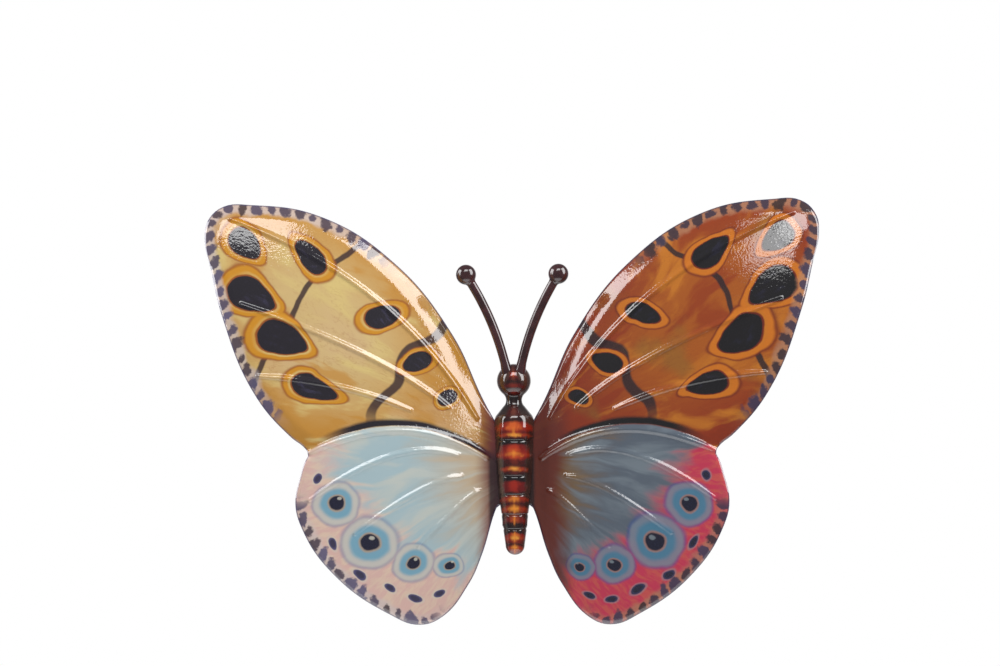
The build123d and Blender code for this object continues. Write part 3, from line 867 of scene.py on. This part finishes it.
print_left = wing_enamel("wing_print_pale", PALE)
print_right = wing_enamel("wing_print_deep", DEEP)
print("paints in each print:", len(PALE), len(DEEP))

# %% [markdown]
# The wing's back and rim.
# Nobody sees the back of a wall ornament, so it gets one coat of dark primer, matter than the front
# and a little thin towards the rim. The cut edge is the primer's colour too, but glossier, because
# some of the front's lacquer runs over it.

# %% Back primer and rim
wing_back, tree, shader = enamel("wing_back_primer", 0.48, 0.25, 0.35)
place = object_place(tree)
primer = blend_colours(tree, fade(tree, mottle(tree, place, 55.0, 4.0), 0.35, 0.7),
                       paint(52, 42, 40), paint(70, 58, 54))
worn = fade(tree, edge_number(tree, "edge_gap"), 2.2, 0.3)
primer = blend_colours(tree, worn, primer, paint(86, 72, 66))
tree.links.new(primer, shader.inputs["Base Color"])
matt = fade(tree, mottle(tree, place, 320.0, 4.0), 0.2, 1.4)
tree.links.new(matt, shader.inputs["Roughness"])
skin(tree, shader, 1400.0, 0.2)

rim_enamel, tree, shader = enamel("wing_rim_enamel", 0.4, 0.1)
two_tone(tree, shader, mottle(tree, object_place(tree), 260.0), (48, 34, 32), (88, 66, 58))

# %% [markdown]
# Both wings are made.
# Each stands for the plain solid of the same name, which stays behind it for the weights and touches.

# %% Make the wings
for side, name, face in ((1, "wing_right", print_right), (-1, "wing_left", print_left)):
    piece = finish_piece(name + "_sheet", press_wing(side), [face, wing_back, rim_enamel],
                         nodes_replaced=[name])
    store_edge_numbers(piece.data)
    print(piece.name, len(piece.data.polygons), "faces")

# %% [markdown]
# The body's bands.
# The body is one pressed shell, printed with glowing bands between dark grooves. Each list runs from
# the head's crown, 0, to the tail's tip, 1. A colour ramp holds at most 32 stops, so head, body and
# tail have one each.

# %% Bands of the body
HEAD_BANDS = [
    (0.00, 80, 38, 28), (0.042, 92, 38, 24), (0.06, 220, 96, 36), (0.076, 110, 40, 24),
    (0.095, 56, 28, 22), (0.118, 130, 38, 22), (0.135, 60, 26, 20), (0.15, 112, 30, 20),
    (0.175, 30, 19, 17), (0.21, 44, 24, 20), (0.25, 104, 48, 34), (0.295, 54, 25, 18),
]
BODY_BANDS = [
    (0.295, 54, 25, 18), (0.312, 208, 92, 34), (0.335, 214, 98, 36), (0.356, 148, 38, 18),
    (0.372, 230, 152, 58), (0.386, 90, 26, 16), (0.394, 20, 14, 14), (0.412, 20, 14, 14),
    (0.43, 176, 50, 20), (0.455, 200, 76, 28), (0.47, 230, 134, 44), (0.485, 190, 66, 26),
    (0.505, 110, 30, 16), (0.528, 84, 26, 16), (0.547, 234, 154, 60), (0.565, 96, 28, 16),
    (0.585, 22, 15, 15), (0.602, 24, 15, 15), (0.618, 160, 34, 14), (0.655, 150, 30, 14),
    (0.678, 24, 16, 16), (0.70, 214, 118, 38), (0.728, 104, 38, 20), (0.755, 234, 146, 44),
    (0.78, 96, 36, 20), (0.812, 176, 74, 26), (0.836, 44, 26, 22), (0.86, 38, 26, 24),
]
TAIL_BANDS = [
    (0.86, 38, 26, 24), (0.876, 54, 28, 20), (0.888, 206, 100, 32), (0.908, 234, 158, 58),
    (0.924, 168, 66, 24), (0.94, 88, 34, 20), (0.957, 230, 140, 48), (0.975, 160, 58, 24),
    (1.0, 96, 36, 20),
]
# the sides' dark grey-brown from crown to tail: painted shade and painted reflection of the rounded
# flanks
SIDE_SHADE_TONES = [
    (0.0, 74, 44, 34), (0.15, 66, 40, 32), (0.20, 34, 26, 24), (0.3, 62, 42, 34),
    (0.38, 30, 24, 22), (0.45, 60, 44, 38), (0.56, 38, 29, 26), (0.64, 58, 43, 38),
    (0.78, 44, 31, 28), (1.0, 78, 34, 21),
]
# how wide the glow is at each place, as a share of the body's half width there
GLOW_WIDTH = [
    (0.0, 0.6), (0.045, 0.35), (0.06, 0.25), (0.08, 0.4), (0.118, 0.9), (0.15, 0.7), (0.19, 0.5),
    (0.25, 0.5), (0.30, 0.85), (0.33, 1.2), (0.355, 1.0), (0.370, 1.05), (0.384, 0.84),
    (0.435, 0.84), (0.47, 1.05), (0.51, 0.75), (0.547, 0.85), (0.58, 0.7), (0.635, 0.85),
    (0.68, 0.8), (0.703, 1.15), (0.73, 0.9), (0.757, 1.2), (0.785, 0.9), (0.815, 1.1), (0.86, 0.8),
    (0.905, 1.2), (0.935, 0.9), (0.96, 1.15), (1.0, 0.9),
]
# the body's own half width, as a share of the thorax's
HALF_WIDTH = [
    (0.0, 0.45), (0.088, 0.85), (0.15, 0.62), (0.19, 0.40), (0.25, 0.72), (0.31, 0.98),
    (0.40, 0.97), (0.55, 0.90), (0.66, 0.81), (0.77, 0.68), (0.85, 0.59), (0.95, 0.48), (1.0, 0.3),
]
print("stops on the body:", len(HEAD_BANDS) + len(BODY_BANDS) + len(TAIL_BANDS))

# %% [markdown]
# Where a place lies on the body.
# A place on the shell is told by two numbers: how far down it lies, and how far to the side, as a
# share of the half width there. Streaks of noise shift both a little, so the bands look brushed.

# %% Body enamel: places
HEAD_Z = -2 * MM
CROWN = 9 * MM
TAIL_BELOW_HEAD = 88.7 * MM
THORAX_HALF_WIDTH = 10.2 * MM
SAG = -0.012
STREAK_SHIFT = 0.018


def ramp(tree, value, stops, kind="EASE"):
    """A colour ramp from (position, colour) stops."""
    node = tree.nodes.new("ShaderNodeValToRGB")
    node.color_ramp.interpolation = kind
    elements = node.color_ramp.elements
    while len(elements) < len(stops):
        elements.new(1.0)
    for element, (position, colour) in zip(elements, stops):
        element.position = position
        element.color = colour
    tree.links.new(value, node.inputs[0])
    return node.outputs[0]


def painted(rows):
    """Stops for a ramp from (position, red, green, blue) of the paint chart."""
    return [(position, paint(*colour)) for position, *colour in rows]


def levels(rows):
    """Stops for a ramp of plain numbers."""
    return [(position, (level, level, level, 1)) for position, level in rows]


body_enamel, tree, shader = enamel("body_enamel", 0.4, 0.04)
place = object_place(tree)
streaks = off_middle(tree, mottle(tree, place, 320.0, 4.0, 0.6))
axis = put(tree, "ShaderNodeSeparateXYZ", {0: place}).outputs
down = sum_of(tree, "DIVIDE", sum_of(tree, "SUBTRACT", HEAD_Z + CROWN, axis[2]),
              TAIL_BELOW_HEAD + CROWN)
half = times(tree, ramp(tree, down, levels(HALF_WIDTH), "LINEAR"), THORAX_HALF_WIDTH)
beside = sum_of(tree, "DIVIDE", sum_of(tree, "ABSOLUTE", axis[0]), half)
# the bands sag a little towards the sides, as they do on a rounded shell
sag = times(tree, times(tree, beside, beside), SAG)
down = sum_of(tree, "ADD", down, sum_of(tree, "MULTIPLY_ADD", streaks, STREAK_SHIFT, sag))
print("crown to tail in mm:", round((TAIL_BELOW_HEAD + CROWN) / MM, 1))

# %% [markdown]
# The body's colours.
# The bands are brightest in the middle, redder beside it, and end in the dark grey-brown of the sides,
# which is painted shade and painted grey reflection of the shell's rounded flanks. How far out they
# reach is a ramp too, which makes each band as wide as its segment lets it be. A thread of orange down
# the middle makes a small cross of every bright band.

# %% Body enamel: colours
THREAD = (236, 140, 44)
EMBER = (176, 88, 80)
JOIN = 0.002

glow = ramp(tree, down, painted(HEAD_BANDS))
for bands in (BODY_BANDS, TAIL_BANDS):
    below = fade(tree, down, bands[0][0] - JOIN, bands[0][0] + JOIN)
    glow = blend_colours(tree, below, glow, ramp(tree, down, painted(bands)))
glow_width = ramp(tree, down, levels(GLOW_WIDTH))
spread = sum_of(tree, "MULTIPLY_ADD", streaks, 0.7, sum_of(tree, "DIVIDE", beside, glow_width))
spine = times(tree, fade(tree, beside, 0.12, 0.02), fade(tree, glow_width, 0.84, 1.04))
spine = times(tree, spine, fade(tree, down, 0.32, 0.36))
glow = blend_colours(tree, times(tree, spine, 0.6), glow, paint(*THREAD))
redder = blend_colours(tree, 1.0, glow, paint(*EMBER), "MULTIPLY")
ember = blend_colours(tree, fade(tree, spread, 0.08, 0.50), glow, redder)
# painted shade and reflection: the rounded sides of the body turn dark grey-brown
painted_side_shade = ramp(tree, down, painted(SIDE_SHADE_TONES))
whole = blend_colours(tree, fade(tree, spread, 0.58, 1.02), ember, painted_side_shade)
tree.links.new(whole, shader.inputs["Base Color"])
skin(tree, shader, 700.0, 0.05)
print("nodes in the body enamel:", len(tree.nodes))

# %% [markdown]
# Antennae.
# They are dipped in the same dark brown as the body's neck. A dipped rod is smoother than a sprayed
# sheet, so its dimples are the shallowest.

# %% Antenna enamel
antenna_enamel, tree, shader = enamel("antenna_enamel", 0.38, 0.05)
thicker = fade(tree, mottle(tree, object_place(tree), 160.0, 4.0), 0.35, 0.68)
two_tone(tree, shader, thicker, (50, 24, 26), (72, 38, 40))
skin(tree, shader, 700.0, 0.04)

# %% [markdown]
# The back plate.
# The strip behind the body gets the same kind of paint as the wings' backs, thinner and scuffed, as
# a part is that slides over a bench before it is riveted.

# %% Plate paint
plate_paint, tree, shader = enamel("plate_paint", 0.5, 0.3, 0.3)
place = object_place(tree)
scuff = fade(tree, mottle(tree, place, 900.0, 5.0, 0.7), 0.62, 0.74)
two_tone(tree, shader, scuff, (44, 34, 32), (92, 80, 74))
matt = fade(tree, mottle(tree, place, 400.0, 3.0), 0.1, 1.2)
tree.links.new(matt, shader.inputs["Roughness"])
skin(tree, shader, 1500.0, 0.2)

# %% [markdown]
# Rivets, strap and ring.
# Such fittings are zinc plated, which shows as a fine spangle of lighter and duller grey. On the
# strap and the ring it is stretched, because both are drawn through rolls or a die.


# %% Zinc
def zinc(name, bright, dull, brushed):
    """Plated steel. Its spangle is so many times finer from front to back than the other ways."""
    material, tree, shader = enamel(name, 0.35, 0.2, 0.0)
    shader.inputs["Metallic"].default_value = 1.0
    stretched = put(tree, "ShaderNodeMapping",
                    {"Vector": object_place(tree), "Scale": (1.0, brushed, 1.0)}).outputs[0]
    spangle = mottle(tree, stretched, 1300.0, 4.0, 0.65)
    two_tone(tree, shader, fade(tree, spangle, 0.35, 0.65), dull, bright)
    tree.links.new(sum_of(tree, "MULTIPLY_ADD", spangle, 0.35, 0.18), shader.inputs["Roughness"])
    stand_out(tree, shader, spangle, 0.15, 0.1 * MM)
    return material


rivet_metal = zinc("rivet_metal", (214, 214, 208), (150, 150, 146), 1.0)
hanger_steel = zinc("hanger_steel", (206, 208, 206), (140, 142, 142), 4.0)

# %% [markdown]
# The rubber pad.
# Black rubber is never quite black: it is a dull dark grey with fine pale specks that also stand out.

# %% Rubber
bumper_rubber, tree, shader = enamel("bumper_rubber", 0.75, 0.4, 0.0)
speck = mottle(tree, object_place(tree), 1600.0, 5.0, 0.7)
two_tone(tree, shader, speck, (22, 22, 22), (52, 51, 50))
stand_out(tree, shader, speck, 0.3, 0.2 * MM)

# %% [markdown]
# Dressing the solids.
# Nine solids have the right shape already and stay as they are. Each only gets its finish, in place
# of the plain one that it came with.

# %% Dress the solids that stay
dress = {
    "body_shell": body_enamel, "antenna_left": antenna_enamel, "antenna_right": antenna_enamel,
    "back_plate": plate_paint, "wing_rivets": rivet_metal, "hanger_rivets": rivet_metal,
    "hanger_strap": hanger_steel, "hanger_ring": hanger_steel, "wall_bumper": bumper_rubber,
}
for name, material in dress.items():
    slots = nodes[name].data.materials
    slots.clear()
    slots.append(material)
print("dressed solids:", len(dress))

# %% [markdown]
# The camera.
# It looks at the butterfly almost straight on, from about 0.9 m, turned and tipped by a degree or two
# as a camera on a stand is. Its shift places the butterfly a little low in the picture without
# tilting the view, as a shift lens does.

# %% Camera
CAMERA_DISTANCE = 902.7 * MM
CAMERA_TARGET = Vector((0.1 * MM, -2.8 * MM, -14.3 * MM))
CAMERA_YAW = math.radians(2.2)
CAMERA_PITCH = math.radians(0.5)
CAMERA_ROLL = math.radians(-0.45)
CAMERA_SHIFT = (-0.0142, 0.072)
SENSOR = 36
FOCAL_SHARE = 1.7717

camera_data = bpy.data.cameras.new("camera")
camera_data.sensor_width = SENSOR
camera_data.lens = SENSOR * FOCAL_SHARE
camera_data.shift_x, camera_data.shift_y = CAMERA_SHIFT
camera = bpy.data.objects.new("camera", camera_data)
turn = Matrix.Rotation(CAMERA_YAW, 4, "Z") @ Matrix.Rotation(math.pi / 2 - CAMERA_PITCH, 4, "X")
turn = turn @ Matrix.Rotation(CAMERA_ROLL, 4, "Z")
away = turn.to_3x3() @ Vector((0, 0, CAMERA_DISTANCE))
camera.matrix_world = Matrix.Translation(CAMERA_TARGET + away) @ turn
bpy.context.scene.collection.objects.link(camera)
bpy.context.scene.camera = camera
print("camera lens in mm:", round(camera_data.lens, 1))

# %% [markdown]
# The studio.
# Two tall soft boxes stand far out to the sides, as the reflections on the head ball show. A third one
# hangs in front and above, where the upper flank of every slanting vein mirrors it, and a small dim one
# lights the tip. A large even panel draws a filled highlight with a clean edge along a raised line,
# where a small lamp would only leave a thread.

# %% Soft boxes
LIGHT_DISTANCE = 1.1
# degrees to the right of the camera and above it, width and height in metres, and brightness
SOFT_BOXES = [
    ("soft_left", -84, 20, 0.78, 0.92, 4.4),
    ("soft_right", 72, 28, 0.70, 1.10, 4.4),
    ("soft_top", 4, 49, 0.62, 0.40, 4.1),
    ("soft_front", -19, 37, 0.17, 0.17, 2.8),
]
for name, right, above, width, tall, radiance in SOFT_BOXES:
    right, above = math.radians(right), math.radians(above)
    toward = Vector((math.sin(right) * math.cos(above), -math.cos(right) * math.cos(above),
                     math.sin(above)))
    lamp = bpy.data.lights.new(name, "AREA")
    lamp.shape = "RECTANGLE"
    lamp.size, lamp.size_y = width, tall
    lamp.energy = radiance * math.pi * width * tall
    holder = bpy.data.objects.new(name, lamp)
    holder.location = toward * LIGHT_DISTANCE
    holder.rotation_euler = (-toward).to_track_quat("-Z", "Y").to_euler()
    bpy.context.scene.collection.objects.link(holder)
    print(name, round(lamp.energy, 2), "W")

# %% [markdown]
# The white room.
# The backdrop is white for every ray that is looked along, also one that has bounced off gloss. On the
# photographer's side the room is dimmer, and gloss shows that too, or black enamel would look grey.

# %% World
ROOM_TONE = (0.57, 0.57, 0.575, 1)
WHITE = (1, 1, 1, 1)
DIM_SIDE = (0.13, 0.13, 0.14, 1)

world = bpy.data.worlds.new("studio")
bpy.context.scene.world = world
world.use_nodes = True
tree = world.node_tree
room = tree.nodes["Background"]
room.inputs["Color"].default_value = ROOM_TONE
ray = put(tree, "ShaderNodeLightPath").outputs
looked = put(tree, "ShaderNodeTexCoord").outputs["Generated"]
looked_back = put(tree, "ShaderNodeSeparateXYZ", {0: looked}).outputs[1]
dim = times(tree, fade(tree, looked_back, 0.97, 0.70), ray["Is Glossy Ray"])
backdrop_tone = blend_colours(tree, dim, WHITE, DIM_SIDE)
backdrop = put(tree, "ShaderNodeBackground", {"Color": backdrop_tone})
seen = sum_of(tree, "MAXIMUM", ray["Is Glossy Ray"], ray["Is Transmission Ray"])
seen = sum_of(tree, "MAXIMUM", ray["Is Camera Ray"], seen)
mix = put(tree, "ShaderNodeMixShader", {0: seen, 1: room.outputs[0], 2: backdrop.outputs[0]})
tree.links.new(mix.outputs[0], tree.nodes["World Output"].inputs["Surface"])

# %% [markdown]
# The floor.
# A pale disc stands under the butterfly and takes its soft shadow. It fades away towards its rim, so
# that no line parts it from the white room.

# %% Floor
FLOOR_Z = -0.50
FLOOR_RADIUS = 0.60
FLOOR_SIDES = 96
FLOOR_TONES = ((0.86, 0.86, 0.86, 1), (0.9, 0.9, 0.9, 1))

floor_mesh = bpy.data.meshes.new("floor")
bm = bmesh.new()
bmesh.ops.create_circle(bm, cap_ends=True, cap_tris=True, segments=FLOOR_SIDES, radius=FLOOR_RADIUS)
bm.to_mesh(floor_mesh)
bm.free()
floor = bpy.data.objects.new("floor", floor_mesh)
floor.location = (0, 0, FLOOR_Z)
bpy.context.scene.collection.objects.link(floor)

floor_paper, tree, shader = enamel("floor_paper", 0.9, 0.5, 0.0)
place = object_place(tree)
tone = blend_colours(tree, mottle(tree, place, 900.0), *FLOOR_TONES)
tree.links.new(tone, shader.inputs["Base Color"])
reach = put(tree, "ShaderNodeVectorMath", {0: place}, operation="LENGTH").outputs["Value"]
tree.links.new(fade(tree, reach, FLOOR_RADIUS * 0.98, FLOOR_RADIUS * 0.45), shader.inputs["Alpha"])
floor_mesh.materials.append(floor_paper)

# %% [markdown]
# Finishing.
# The picture is shown in the plain Standard view transform, without a film curve.

# %% Finish
bpy.context.scene.view_settings.view_transform = "Standard"
